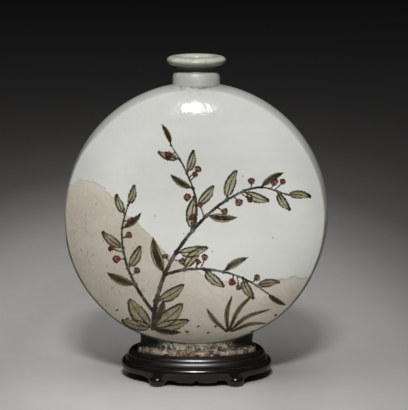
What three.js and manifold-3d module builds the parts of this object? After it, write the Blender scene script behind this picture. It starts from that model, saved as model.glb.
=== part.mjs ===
// Wine flask: a flattened round stoneware bottle standing in its own carved hardwood stand.
// Millimetres, +Z up. The face points along -Y and the origin is on the table under the middle.
import * as THREE from 'three';
import { mergeVertices } from 'three/addons/utils/BufferGeometryUtils.js';
import Module from 'manifold-3d';

const wasm = await Module();
wasm.setup();

// Flask body: two dished halves luted together on the mid-plane, a little taller than wide.
const bodyHalfWidth = 105;
const bodyHalfHeight = 106;
const bandHalfDepth = 20;
const bandCrown = 3.2;
const faceRise = 17;
const faceFullness = 5;
const creaseEase = 2.4;
const bodyWall = 5.5;

// Neck and mouth, stacked up from the top of the body.
const throatRadius = 11;
const neckBoreRadius = 13;
const mouthRadius = 12;
const collarRadius = 18.6;
const collarRise = 8.7;
const shoulderHeight = 6.2;
const grooveRadius = 16.2;
const grooveHeight = 4.8;
const grooveHollow = 0.6;
const lipRadius = 23.2;
const lipUnder = 3.9;
const lipOver = 3;
const lipCrestRadius = 17.8;
const mouthEase = 2.6;

// Foot ring: a flared oval flange under a narrower waist that runs up to the body.
const footHalfLength = 48.7;
const footHalfDepth = 25.2;
const flangeHeight = 6.4;
const flangeRound = 2.2;
const waistHalfLength = 45.4;
const waistEase = 2.4;
const footWall = 6.2;
const footLift = 8.6;

// Stand: the apron, the seat board and the gallery, each a moulding round the foot's oval.
const ovalFullness = 2.15;
const endClearance = 2.6;
const sideClearance = 3.6;
const galleryWidth = 4.3;
const galleryHeight = 4.6;
const galleryRound = 3.6;
const boardProud = 1.7;
const boardThickness = 3.8;
const boardRound = 1.6;
const mouldingStep = 0.6;
const apronTop = 14.6;
const apronSet = 0.6;
const apronSwell = 3.3;
const apronShoulder = 4;
const apronTuck = 1.3;
const apronWall = 8.6;

// The apron's lower edge, as heights above the table and lengths along the edge.
const hemLow = 3.4;
const hemRecess = 1.6;
const hemNotch = 1.7;
const hemEndArch = 3.4;
const hemOverFoot = 5;
const hemEase = 3;
const recessLength = 11;
const notchHalfLength = 3;
const endArchEase = 8;

// Ball feet, let into sockets in the apron.
const ballRadius = 6.8;
const ballHeight = 7.6;
const ballFlat = 4;
const ballSpacing = 31;
const ballProud = 3.6;

// Joints in the clay and the wood.
const jointGap = 0.3;

// Facets round each shape, and levels up a curve.
const bodySteps = 64;
const cavitySteps = 36;
const skinPoints = { band: 3, crease: 2, face: 7 };
const cavityPoints = { band: 2, crease: 1, face: 5 };
const neckSteps = 36;
const ovalSteps = 64;
const apronSteps = 112;
const ballSteps = 18;
const curveLevels = 4;

const seatHeight = apronTop + boardThickness;
const bodyCentre = seatHeight + footLift + bodyHalfHeight;
const bodyTop = bodyCentre + bodyHalfHeight;
const collarTop = bodyTop + collarRise;
const neckTop = collarTop + grooveHeight;
const lipTop = neckTop + lipUnder + lipOver;

const flangePlan = { halfLength: footHalfLength, halfDepth: footHalfDepth };
const waistPlan = { halfLength: waistHalfLength, halfDepth: bandHalfDepth };
const galleryInside = {
  halfLength: footHalfLength + endClearance,
  halfDepth: footHalfDepth + sideClearance,
};
const galleryOutside = grown(galleryInside, galleryWidth);
const boardPlan = grown(galleryOutside, boardProud);
const apronPlan = grown(boardPlan, apronSet + apronSwell);
const apronInside = grown(apronPlan, -apronWall);

const glaze = { color: 0xc6c8c0, roughness: 0.22, metalness: 0 };
const collarGlaze = { color: 0xbfc2bc, roughness: 0.22, metalness: 0 };
const lipGlaze = { color: 0xb2b3a4, roughness: 0.25, metalness: 0 };
const bareClay = { color: 0xb59a80, roughness: 0.75, metalness: 0 };
const hardwood = { color: 0x1f1813, roughness: 0.28, metalness: 0 };

function grown(plan, width) {
  return { halfLength: plan.halfLength + width, halfDepth: plan.halfDepth + width };
}

function toSolid(geometry) {
  const bare = geometry.clone();
  bare.deleteAttribute('normal');
  bare.deleteAttribute('uv');
  const merged = mergeVertices(bare);
  const index = merged.getIndex().array;
  const triangles = [];
  for (let i = 0; i < index.length; i += 3) {
    const [a, b, c] = [index[i], index[i + 1], index[i + 2]];
    if (a !== b && b !== c && c !== a) triangles.push(a, b, c);
  }
  return new wasm.Manifold(new wasm.Mesh({
    numProp: 3,
    vertProperties: new Float32Array(merged.getAttribute('position').array),
    triVerts: new Uint32Array(triangles),
  }));
}

function toGeometry(solid) {
  const mesh = solid.getMesh();
  const geometry = new THREE.BufferGeometry();
  geometry.setAttribute('position', new THREE.BufferAttribute(mesh.vertProperties, 3));
  geometry.setIndex(new THREE.BufferAttribute(mesh.triVerts, 1));
  return geometry;
}

// A path of (radius, height) turned about the vertical axis. A path steps an ellipse twice as
// finely as it is asked to.
function turned(path, steps) {
  const profile = path.getPoints(curveLevels / 2);
  return new THREE.LatheGeometry(profile, steps).rotateX(Math.PI / 2);
}

// Half of the body's section as (radius, depth), from the ridge on the mid-plane to the middle
// of a face: the crowned side band, the eased crease, then the domed face. inset draws the whole
// outline inward for the cavity, and a negative one sets it out for a clearance.
function bodySection(inset, points) {
  const ridge = bodyHalfWidth - inset;
  const creaseRadius = ridge - bandCrown;
  const creaseDepth = bandHalfDepth - inset;
  const bandAt = (depth) => new THREE.Vector2(ridge - bandCrown * (depth / creaseDepth) ** 2, depth);
  const faceAt = (radius) => new THREE.Vector2(
    radius, creaseDepth + faceRise * (1 - (radius / creaseRadius) ** faceFullness));
  const bandEnd = creaseDepth - creaseEase;
  const faceStart = creaseRadius - creaseEase;
  const crease = new THREE.QuadraticBezierCurve(
    bandAt(bandEnd), new THREE.Vector2(creaseRadius, creaseDepth), faceAt(faceStart));
  const section = [];
  for (let i = 0; i < points.band; i += 1) section.push(bandAt(bandEnd * i / points.band));
  section.push(...crease.getPoints(points.crease));
  for (let i = 1; i < points.face; i += 1) {
    section.push(faceAt(faceStart * Math.cos(Math.PI / 2 * i / points.face)));
  }
  section.push(faceAt(0));
  return section;
}

// The body as a solid, revolved about the depth axis: its front half, its back half or both.
function bodySolid(inset, steps, part) {
  const section = bodySection(inset, inset > 0 ? cavityPoints : skinPoints);
  const front = section.map((p) => new THREE.Vector2(p.x, -p.y)).reverse();
  const centre = new THREE.Vector2(0, 0);
  const profiles = {
    front: [...front, centre],
    back: [centre, ...section],
    both: [...front, ...section.slice(1)],
  };
  const geometry = new THREE.LatheGeometry(profiles[part], steps);
  geometry.scale(1, 1, bodyHalfHeight / bodyHalfWidth);
  geometry.translate(0, 0, bodyCentre);
  return toSolid(geometry);
}

// The hole at the top of the body, a little narrower than the neck's bore above it.
function throatHole() {
  const shaft = new THREE.CylinderGeometry(throatRadius, throatRadius, bodyHalfHeight, neckSteps);
  shaft.rotateX(Math.PI / 2);
  shaft.translate(0, 0, bodyTop);
  return toSolid(shaft);
}

// One dished half of the body, with its half of the throat hole in the rim.
function shell(part) {
  return bodySolid(0, bodySteps, part)
    .subtract(bodySolid(bodyWall, cavitySteps, 'both'))
    .subtract(throatHole());
}

// The collar stands on the body, cut to its curve, and rounds in to a narrow groove.
function neckCollar() {
  const low = bodyTop - collarRadius;
  const path = new THREE.Path();
  path.moveTo(neckBoreRadius, low);
  path.lineTo(collarRadius, low);
  path.lineTo(collarRadius, collarTop - shoulderHeight);
  path.absellipse(grooveRadius, collarTop - shoulderHeight,
    collarRadius - grooveRadius, shoulderHeight, 0, Math.PI / 2, false);
  path.quadraticCurveTo(
    grooveRadius - 2 * grooveHollow, collarTop + grooveHeight / 2, grooveRadius, neckTop);
  path.lineTo(neckBoreRadius, neckTop);
  path.lineTo(neckBoreRadius, low);
  return toSolid(turned(path, neckSteps)).subtract(bodySolid(-jointGap, bodySteps, 'both'));
}

// The rolled lip, seated on the neck: quarter ellipses under, over and into the mouth.
function mouthLip() {
  const widest = neckTop + lipUnder;
  const roll = lipRadius - lipCrestRadius;
  const path = new THREE.Path();
  path.moveTo(mouthRadius, neckTop);
  path.lineTo(lipCrestRadius, neckTop);
  path.absellipse(lipCrestRadius, widest, roll, lipUnder, -Math.PI / 2, 0, false);
  path.absellipse(lipCrestRadius, widest, roll, lipOver, 0, Math.PI / 2, false);
  path.absellipse(lipCrestRadius, lipTop - mouthEase,
    lipCrestRadius - mouthRadius, mouthEase, Math.PI / 2, Math.PI, false);
  path.lineTo(mouthRadius, neckTop);
  return turned(path, neckSteps);
}

// A point of an oval outline. The outline is a superellipse, a little fuller than an ellipse.
function ovalPoint(plan, angle) {
  const bend = 2 / ovalFullness;
  const along = Math.cos(angle);
  const across = Math.sin(angle);
  return new THREE.Vector2(
    plan.halfLength * Math.sign(along) * Math.abs(along) ** bend,
    plan.halfDepth * Math.sign(across) * Math.abs(across) ** bend);
}

// Ovals stacked into one skin, each a level of a moulding: { plan, height }, where a height may
// be a function of the angle. The list climbs the outside. A hollow ring comes down the inside
// and joins up with its first level, and a solid board is closed by a flat cap at each end.
function mouldedOval(levels, steps, hollow) {
  const positions = [];
  const index = [];
  for (const level of levels) {
    for (let j = 0; j < steps; j += 1) {
      const angle = 2 * Math.PI * j / steps;
      const point = ovalPoint(level.plan, angle);
      const height = typeof level.height === 'function' ? level.height(angle) : level.height;
      positions.push(point.x, point.y, height);
    }
  }
  const at = (level, j) => (level % levels.length) * steps + (j % steps);
  const walls = hollow ? levels.length : levels.length - 1;
  for (let i = 0; i < walls; i += 1) {
    for (let j = 0; j < steps; j += 1) {
      index.push(at(i, j), at(i, j + 1), at(i + 1, j + 1));
      index.push(at(i, j), at(i + 1, j + 1), at(i + 1, j));
    }
  }
  if (!hollow) {
    const last = levels.length - 1;
    const under = positions.length / 3;
    positions.push(0, 0, levels[0].height, 0, 0, levels[last].height);
    for (let j = 0; j < steps; j += 1) {
      index.push(under, at(0, j + 1), at(0, j));
      index.push(under + 1, at(last, j), at(last, j + 1));
    }
  }
  const geometry = new THREE.BufferGeometry();
  geometry.setAttribute('position', new THREE.Float32BufferAttribute(positions, 3));
  geometry.setIndex(index);
  return geometry;
}

// Levels of a quarter round from the plan's full width at its foot, in and up by these sizes.
function quarterRound(plan, low, inward, rise) {
  return new THREE.EllipseCurve(-inward, low, inward, rise, 0, Math.PI / 2)
    .getPoints(curveLevels)
    .map((p) => ({ plan: grown(plan, p.x), height: p.y }));
}

// Levels of a thumb moulding: a short upright step, then a quarter round to the top.
function thumbMoulding(plan, low, high, inward) {
  const start = low + mouldingStep;
  return [{ plan, height: low }, ...quarterRound(plan, start, inward, high - start)];
}

// The flask's foot: the flange stands on the seat, the waist climbs between the two creases of
// the body, and the top is cut to the body's curve.
function footRing() {
  const flangeTop = seatHeight + flangeHeight;
  const bodyRise = bodyHalfHeight * Math.sqrt(1 - (waistHalfLength / bodyHalfWidth) ** 2);
  const top = bodyCentre - bodyRise + bandCrown;
  const inside = grown(waistPlan, -footWall);
  const solid = toSolid(mouldedOval([
    { plan: flangePlan, height: seatHeight },
    ...quarterRound(flangePlan, flangeTop - flangeRound, flangeRound, flangeRound),
    { plan: waistPlan, height: flangeTop + waistEase },
    { plan: waistPlan, height: top },
    { plan: inside, height: top },
    { plan: inside, height: seatHeight },
  ], ovalSteps, true));
  return solid.subtract(bodySolid(-jointGap, bodySteps, 'both'));
}

// The gallery: a low rounded rail round the seat that keeps the foot in place.
function galleryRim() {
  return mouldedOval([
    ...thumbMoulding(galleryOutside, seatHeight, seatHeight + galleryHeight, galleryRound),
    { plan: galleryInside, height: seatHeight + galleryHeight },
    { plan: galleryInside, height: seatHeight },
  ], ovalSteps, true);
}

// The seat board, whose rounded edge shows as a moulding between gallery and apron.
function seatBoard() {
  return mouldedOval(thumbMoulding(boardPlan, apronTop, seatHeight, boardRound), ovalSteps, false);
}

// Height of the apron's lower edge. Front and back it hangs in two lobes with a notch between
// them and a recess beside each foot, and round the ends it rises in one long arch.
function hemHeight(angle) {
  const { smoothstep } = THREE.MathUtils;
  const reach = Math.abs(ovalPoint(apronPlan, angle).x);
  const fromFoot = ballSpacing - reach;
  if (fromFoot < 0) {
    return hemLow + hemEndArch * smoothstep(-fromFoot, hemOverFoot, hemOverFoot + endArchEase);
  }
  const recessEnd = hemOverFoot + recessLength;
  const recess = smoothstep(fromFoot, hemOverFoot, hemOverFoot + hemEase)
    * (1 - smoothstep(fromFoot, recessEnd - hemEase, recessEnd));
  const notch = 1 - smoothstep(reach, 0, notchHalfLength);
  return hemLow + hemRecess * recess + hemNotch * notch;
}

// The places of the four ball feet, each a little proud of the apron's face.
function ballPlaces() {
  const ratio = ballSpacing / apronPlan.halfLength;
  const face = apronPlan.halfDepth * (1 - ratio ** ovalFullness) ** (1 / ovalFullness);
  const depth = face + ballProud - ballRadius;
  return {
    foot_front_left: [-ballSpacing, -depth],
    foot_front_right: [ballSpacing, -depth],
    foot_back_left: [-ballSpacing, depth],
    foot_back_right: [ballSpacing, depth],
  };
}

// A squashed ball with a flat at each end. grow sets it out for its socket.
function ballFoot([x, y], grow) {
  const middle = ballHeight / 2;
  const path = new THREE.Path();
  path.moveTo(0, -grow);
  path.lineTo(ballFlat, -grow);
  path.absellipse(ballFlat, middle, ballRadius - ballFlat + grow, middle + grow,
    -Math.PI / 2, 0, false);
  path.absellipse(ballFlat, middle, ballRadius - ballFlat + grow, middle + grow,
    0, Math.PI / 2, false);
  path.lineTo(0, ballHeight + grow);
  return turned(path, ballSteps).translate(x, y, 0);
}

// The apron: a deep swelling frame under the board, its lower edge cut in lobes and arches and
// a socket in it for each ball foot.
function apron() {
  const widest = apronTop - apronShoulder;
  const tuckedLevel = (share) => ({
    plan: grown(apronPlan, -apronTuck * (1 - share) ** 2),
    height: (angle) => THREE.MathUtils.lerp(hemHeight(angle), widest, share),
  });
  const solid = toSolid(mouldedOval([
    tuckedLevel(0),
    tuckedLevel(1 / 2),
    ...quarterRound(apronPlan, widest, apronSwell, apronShoulder),
    { plan: apronInside, height: apronTop },
    { plan: apronInside, height: hemHeight },
  ], apronSteps, true));
  const sockets = Object.values(ballPlaces()).map((place) => toSolid(ballFoot(place, jointGap)));
  return sockets.reduce((left, socket) => left.subtract(socket), solid);
}

function piece(name, shape, look) {
  const geometry = shape.isBufferGeometry ? shape : toGeometry(shape);
  const mesh = new THREE.Mesh(geometry, new THREE.MeshStandardMaterial(look));
  mesh.name = name;
  return mesh;
}

const flask = new THREE.Group();
flask.add(piece('front_shell', shell('front'), glaze));
flask.add(piece('back_shell', shell('back'), glaze));
flask.add(piece('neck_collar', neckCollar(), collarGlaze));
flask.add(piece('mouth_lip', mouthLip(), lipGlaze));
flask.add(piece('foot_ring', footRing(), bareClay));

const stand = new THREE.Group();
stand.add(piece('gallery_rim', galleryRim(), hardwood));
stand.add(piece('seat_board', seatBoard(), hardwood));
stand.add(piece('apron', apron(), hardwood));
for (const [name, place] of Object.entries(ballPlaces())) {
  stand.add(piece(name, ballFoot(place, 0), hardwood));
}

const flaskInStand = new THREE.Group();
flaskInStand.add(flask, stand);

export default flaskInStand;
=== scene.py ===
import itertools
import math

import bpy
import numpy as np
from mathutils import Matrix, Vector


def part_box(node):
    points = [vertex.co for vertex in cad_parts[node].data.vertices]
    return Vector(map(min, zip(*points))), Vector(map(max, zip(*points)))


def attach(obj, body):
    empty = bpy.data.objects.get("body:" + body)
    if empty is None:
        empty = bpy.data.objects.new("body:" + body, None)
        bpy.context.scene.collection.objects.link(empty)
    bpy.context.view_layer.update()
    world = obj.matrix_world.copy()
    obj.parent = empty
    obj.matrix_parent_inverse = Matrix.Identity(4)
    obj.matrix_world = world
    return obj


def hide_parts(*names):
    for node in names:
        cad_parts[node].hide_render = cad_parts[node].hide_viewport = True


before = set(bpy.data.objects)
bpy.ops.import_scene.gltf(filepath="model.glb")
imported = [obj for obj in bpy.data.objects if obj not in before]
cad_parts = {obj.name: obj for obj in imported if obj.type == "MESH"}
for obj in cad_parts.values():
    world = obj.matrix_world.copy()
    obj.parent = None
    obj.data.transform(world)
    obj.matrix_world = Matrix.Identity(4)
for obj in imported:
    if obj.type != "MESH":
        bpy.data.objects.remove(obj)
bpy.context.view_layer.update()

# Sizes and places are in millimetres, except where a comment says metres.
MM = 0.001


def box_mm(node):
    """Lowest and highest corner of a CAD node, in millimetres."""
    low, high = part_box(node)
    return np.array(low) / MM, np.array(high) / MM


# Sizes of the body, read off the solids where a box gives them.
BODY_LOW, BODY_HIGH = box_mm("front_shell")
BODY_TOP = BODY_HIGH[2]
HALF_WIDTH = BODY_HIGH[0]
HALF_HEIGHT = (BODY_TOP - BODY_LOW[2]) / 2
MIDDLE = (BODY_TOP + BODY_LOW[2]) / 2
STRETCH = HALF_HEIGHT / HALF_WIDTH
BAND_DEPTH = 20.0
BAND_CROWN = 3.2
CREASE = HALF_WIDTH - BAND_CROWN
CREASE_EASE = 2.4
FACE_RISE = -BODY_LOW[1] - BAND_DEPTH
FACE_FULLNESS = 5.0
WALL = 5.5
THROAT = 11.0
# Nothing is quite even. Waves, here and below, are each a height, a wavelength and a seed.
FACE_WAVES = ((0.16, 58.0, 3), (0.05, 21.0, 5))
# The outline isn't a true round: how far it is let out, and about which bearing and how widely.
# Bearings are in degrees, from the right by way of the top.
LEFT_BULGE = (1.0, 203, 33)
RIGHT_BULGE = (0.9, 312, 16)
# Between which bearings the left bulge begins, and between which radii both bulges grow.
LEFT_BEGINS = (182, 196)
BULGE_GROWS = (45, 103)
# How much further out the crease lies on the left, over which bearings and from which radius.
CREASE_OUT = 2.1
CREASE_BEARINGS = (134, 152, 232, 262)
CREASE_FROM = 62

# Sizes of the neck and the mouth.
COLLAR, _, NECK_TOP = box_mm("neck_collar")[1]
NECK_BORE = 13.0
FILLET = 1.1
FILLET_WAVES = ((0.45, 15.0, 37),)
COLLAR_SUNK = 0.3
BORE_LIFT = 0.15
SHOULDER = 6.2
GROOVE = 16.2
GROOVE_HEIGHT = 4.8
GROOVE_HOLLOW = 2.4
LIP_LOW, LIP_HIGH = box_mm("mouth_lip")
LIP = LIP_HIGH[0]
LIP_CREST = 17.8
LIP_WIDEST = LIP_LOW[2] + 3.9
MOUTH = 12.0
MOUTH_EASE = 2.6

# Sizes of the foot and its glaze drips.
FOOT_LOW, FOOT_HIGH = box_mm("foot_ring")
SEAT = FOOT_LOW[2]
FLANGE = 6.4
FLANGE_TOP = SEAT + FLANGE
FLANGE_ROUND = 2.2
WAIST = (45.4, 20.0)
FOOT_WALL = 6.2
FOOT_SUNK = 1.0
DRIP_RUN = 5.2
DRIP_LESS = 2.6
DRIP_LEAST = 0.6
DRIP_WAVES = ((2.0, 8.0, 17), (1.3, 3.2, 19))
DRIP_THICKNESS = 0.45
THICKNESS_WAVES = ((0.12, 9.0, 23),)
FLANGE_WAVES = ((0.14, 16.0, 29),)
FOOT_WORN = 0.15

# Sizes of the stand.
OVAL_FULLNESS = 2.15
RAIL = box_mm("gallery_rim")[1]
RAIL_WIDTH = 4.3
RAIL_LEAN = (20, 68)
RAIL_EASE = 0.3
BOARD_LOW, BOARD_HIGH = box_mm("seat_board")
BOARD_LEAN = (16, 42)
MOULDING_STEP = 0.6
APRON_LOW, APRON_HIGH = box_mm("apron")
APRON_TOP = APRON_HIGH[2]
APRON_SWELL = 3.3
APRON_SHOULDER = 4.0
APRON_TUCK = 1.3
APRON_WALL = 8.6
END_ARCH = 3.4
HEM_RECESS = 1.6
HEM_NOTCH = 1.7
KNEE_DROP = 1.7
KNEE_SWELL = 2.3
BALL_SPACING = 31.0
BALL = 6.8
BALL_FLAT = 4.0

# How finely the pieces are made: cells across each half of the body, steps round a piece, and
# the angle in degrees from which an edge stays hard.
FRONT_CELLS, BACK_CELLS = 320, 120
HOLLOW_STEPS, THROAT_STEPS = 160, 96
LATHE_STEPS = 144
BALL_STEPS = 64
OVAL_STEPS = 360
SHARP_ANGLE = 35


def srgb(red, green, blue):
    """A colour of 0 to 255 parts as Blender's linear colour."""
    parts = [c / 255 for c in (red, green, blue)]
    return tuple(((c + 0.055) / 1.055) ** 2.4 if c > 0.04045 else c / 12.92 for c in parts) + (1.0,)


def smoothstep(value, low, high):
    share = np.clip((np.asarray(value, float) - low) / (high - low), 0, 1)
    return share * share * (3 - 2 * share)


def plateau(value, start, full, still, end):
    """1 from full to still, and 0 before start and after end."""
    return smoothstep(value, start, full) * (1 - smoothstep(value, still, end))


def bell(value, middle, spread):
    return np.exp(-((value - middle) / spread) ** 2)


# How many crossing waves make an uneven field, and about how high their sum comes.
RIPPLE_WAVES = 7
RIPPLE_CREST = 3.2


def ripple(points, wavelength, seed):
    """A smooth uneven field from about -1 to 1 over points in space."""
    rng = np.random.default_rng(seed)
    total = np.zeros(len(points))
    for _ in range(RIPPLE_WAVES):
        direction = rng.normal(size=3)
        direction /= np.linalg.norm(direction)
        length = wavelength * rng.uniform(0.7, 1.6)
        total += np.sin(points @ direction * 2 * math.pi / length + rng.uniform(0, 2 * math.pi))
    return total / RIPPLE_CREST


def waves(points, kinds):
    """The sum of some waves over points in space."""
    return sum(height * ripple(points, length, seed) for height, length, seed in kinds)


def hollows(points, kinds):
    """Waves that go down from 0, never or hardly above it."""
    return -sum(height for height, _, _ in kinds) - waves(points, kinds)


def around(steps, shift=0.0):
    """Angles once round, the first one a share of a step on."""
    return (np.arange(steps) + shift) * 2 * math.pi / steps


# Meshes

def new_object(name, data):
    obj = bpy.data.objects.new(name, data)
    bpy.context.scene.collection.objects.link(obj)
    return obj


def build_object(name, vertices, faces):
    """A smooth-shaded mesh object facing out, with its hard edges kept."""
    vertices = np.asarray(vertices, float)
    volume = 0.0
    for face in faces:
        for k in range(1, face.shape[1] - 1):
            a, b, c = vertices[face[:, 0]], vertices[face[:, k]], vertices[face[:, k + 1]]
            volume += np.einsum("ij,ij->i", a, np.cross(b, c)).sum()
    rows = [row for face in faces for row in (face[:, ::-1] if volume < 0 else face).tolist()]
    mesh = bpy.data.meshes.new(name)
    mesh.from_pydata((vertices * MM).tolist(), [], rows)
    mesh.update()
    obj = new_object(name, mesh)
    smooth(obj)
    return obj


def smooth(obj):
    mesh = obj.data
    mesh.polygons.foreach_set("use_smooth", [True] * len(mesh.polygons))
    mesh.set_sharp_from_angle(angle=math.radians(SHARP_ANGLE))


def strip(start, levels, steps, ring=False):
    """Quads of a skin whose vertices run level by level round the piece."""
    level, step = np.meshgrid(np.arange(levels if ring else levels - 1), np.arange(steps), indexing="ij")
    after = (level + 1) % levels
    turn = (step + 1) % steps
    quads = [level * steps + step, level * steps + turn, after * steps + turn, after * steps + step]
    return start + np.stack([q.ravel() for q in quads], axis=1)


def fan(centre, loop):
    """Triangles from a loop of vertices to one in its middle."""
    return np.stack([np.full(len(loop), centre), loop, np.roll(loop, -1)], axis=1)


def ring_object(name, levels):
    """A hollow ring of an outline's levels, going up the outside and down the inside."""
    levels = np.asarray(levels)
    return build_object(name, levels.reshape(-1, 3), [strip(0, *levels.shape[:2], ring=True)])


def inside_of(levels):
    """Which vertices belong to a ring's last two levels, down its inside."""
    inside = np.zeros(levels.shape[:2], bool)
    inside[-2:] = True
    return inside.ravel()


def board_object(name, levels):
    """A solid board of levels, closed by a flat cap at each end."""
    levels = np.asarray(levels)
    count, steps = levels.shape[:2]
    vertices = np.vstack([levels.reshape(-1, 3), levels[0].mean(0), levels[-1].mean(0)])
    under = fan(count * steps, np.arange(steps)[::-1])
    over = fan(count * steps + 1, np.arange((count - 1) * steps, count * steps))
    return build_object(name, vertices, [strip(0, count, steps), under, over])


def cut(obj, *tools):
    """Takes the tools' solids out of obj, and removes the tools."""
    for tool in tools:
        modifier = obj.modifiers.new("cut", "BOOLEAN")
        modifier.operation = "DIFFERENCE"
        modifier.solver = "MANIFOLD"
        modifier.object = tool
    bpy.context.view_layer.update()
    graph = bpy.context.evaluated_depsgraph_get()
    mesh = bpy.data.meshes.new_from_object(obj.evaluated_get(graph))
    obj.modifiers.clear()
    obj.data = mesh
    for tool in tools:
        bpy.data.objects.remove(tool)
    smooth(obj)


def coordinates(obj):
    """The object's vertices in millimetres."""
    flat = np.empty(len(obj.data.vertices) * 3)
    obj.data.vertices.foreach_get("co", flat)
    return flat.reshape(-1, 3) / MM


def paint(obj, name, values):
    """Keeps a value for each vertex under a name that the materials read."""
    attribute = obj.data.attributes.new(name, "FLOAT", "POINT")
    attribute.data.foreach_set("value", np.asarray(values, np.float32))


# The body

def face_depth(radius, inset=0.0):
    """How far the domed face stands in front of the mid-plane."""
    return BAND_DEPTH - inset + FACE_RISE * (1 - (radius / (CREASE - inset)) ** FACE_FULLNESS)


def body_section(inset=0.0, band=7, crease=8, face=0):
    """(radius, depth) from the face's edge out over the crease and along the band to the ridge.
    face adds that many levels of the dome, for a skin without a grid of its own."""
    ridge = HALF_WIDTH - inset
    corner = np.array([CREASE - inset, BAND_DEPTH - inset])

    def band_at(depth):
        return np.stack([ridge - BAND_CROWN * (depth / corner[1]) ** 2, depth], axis=-1)

    start, end = corner - CREASE_EASE
    t = np.linspace(0, 1, crease)[:, None]
    from_face = np.array([start, face_depth(start, inset)])
    to_band = band_at(np.array(end))
    curve = from_face * (1 - t) ** 2 + 2 * corner * t * (1 - t) + to_band * t ** 2
    levels = [curve, band_at(np.linspace(end, 0, band)[1:])]
    if face:
        radii = start * np.sin(np.linspace(0, math.pi / 2, face + 1)[1:-1])
        levels.insert(0, np.stack([radii, face_depth(radii, inset)], axis=1))
    return np.vstack(levels)


SECTION = body_section(band=24, crease=24, face=24)


def body_height(x, y):
    """How far above the body's middle its surface is over a point of the plan."""
    radius = np.interp(np.abs(y), SECTION[::-1, 1], SECTION[::-1, 0])
    return STRETCH * np.sqrt(np.maximum(radius ** 2 - np.asarray(x) ** 2, 0))


def from_middle(points):
    """Radius and bearing in degrees, from the right by way of the top, on the body's round."""
    x, up = points[:, 0], (points[:, 2] - MIDDLE) / STRETCH
    return np.hypot(x, up), np.degrees(np.arctan2(up, x)) % 360


def disc_grid(cells, radius):
    """A square grid bent into a disc of even cells: (x, z) of each vertex, the cells' quads and the
    outer loop in order."""
    line = np.linspace(-1, 1, cells + 1)
    a, b = np.meshgrid(line, line, indexing="ij")
    wide = np.abs(a) > np.abs(b)
    long = np.where(wide, a, b)
    short = np.where(wide, b, a)
    ratio = np.divide(short, long, out=np.zeros_like(long), where=long != 0) * math.pi / 4
    angle = np.where(wide, ratio, math.pi / 2 - ratio)
    points = np.stack([long * np.cos(angle), long * np.sin(angle)], axis=-1).reshape(-1, 2) * radius
    at = np.arange((cells + 1) ** 2).reshape(cells + 1, cells + 1)
    quads = np.stack([q.ravel() for q in (at[:-1, 1:], at[1:, 1:], at[1:, :-1], at[:-1, :-1])], axis=1)
    loop = np.concatenate([at[:-1, 0], at[-1, :-1], at[:0:-1, -1], at[0, :0:-1]])
    return points, quads, loop


def half_body(name, side, cells):
    """One dished half of the flask, side -1 in front and 1 behind, with its wall and its half of
    the throat."""
    section = body_section(band=12, crease=9)
    points, quads, loop = disc_grid(cells, section[0, 0])
    depth = face_depth(np.hypot(points[:, 0], points[:, 1]))
    grid = np.stack([points[:, 0], side * depth, points[:, 1]], axis=1)
    steps = len(loop)
    circle = points[loop] / section[0, 0]
    rings = [np.stack([r * circle[:, 0], np.full(steps, side * d), r * circle[:, 1]], axis=1)
             for r, d in section[1:]]
    vertices = np.vstack([grid, *rings, [[0, 0, 0]]])
    vertices[:, 2] = MIDDLE + STRETCH * vertices[:, 2]

    uneven = hollows(vertices, FACE_WAVES) * smoothstep(np.abs(vertices[:, 1]), BAND_DEPTH, BAND_DEPTH + 3)
    vertices[:, 1] += side * uneven

    first = len(grid) + np.arange(steps)
    last = first + (len(rings) - 1) * steps
    join = np.stack([loop, np.roll(loop, -1), np.roll(first, -1), first], axis=1)
    skin = [quads, join, strip(len(grid), len(rings), steps), fan(len(vertices) - 1, last)]
    obj = build_object(name, vertices, skin)
    cut(obj, hollow(), shaft())
    return obj


def hollow():
    """The whole space inside the body, as a tool that cuts."""
    section = body_section(WALL, band=5, crease=4, face=12)
    both = np.vstack([section * [1, -1], section[-2::-1]])
    # A little off the halves' own spokes, so that no sliver is left where the two would meet.
    angle = around(HOLLOW_STEPS, 0.05)
    across, up = np.cos(angle), STRETCH * np.sin(angle)
    levels = [np.stack([r * across, np.full(len(angle), d), MIDDLE + r * up], axis=1) for r, d in both]
    return board_object("cavity", levels)


def shaft():
    """The throat, as a tool that cuts from the body's inside out through its top."""
    angle = around(THROAT_STEPS, 0.5)
    circle = THROAT * np.stack([np.cos(angle), np.sin(angle)], axis=1)
    levels = [np.column_stack([circle, np.full(len(angle), MIDDLE + HALF_HEIGHT * share)])
              for share in (0.5, 1.5)]
    return board_object("throat", levels)


def let_out(obj):
    """Lets the body out beyond a true round at its lower left and right, and lays the crease
    nearer to the outline on the left."""
    points = coordinates(obj)
    radius, bearing = from_middle(points)
    left, right = (size * bell(bearing, middle, spread) for size, middle, spread in (LEFT_BULGE, RIGHT_BULGE))
    bulge = (left * smoothstep(bearing, *LEFT_BEGINS) + right) * smoothstep(radius, *BULGE_GROWS)
    eased = CREASE - 0.8
    crease = CREASE_OUT * plateau(bearing, *CREASE_BEARINGS)
    crease *= plateau(radius, CREASE_FROM, eased, eased, HALF_WIDTH)
    grow = 1 + (bulge + crease) / np.maximum(radius, 1)
    points[:, 0] *= grow
    points[:, 2] = MIDDLE + (points[:, 2] - MIDDLE) * grow
    obj.data.vertices.foreach_set("co", (points * MM).ravel())
    obj.data.update()


# The painted spray

# How far from a painted edge the distances are kept, in millimetres.
REACH = 3.0
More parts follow.
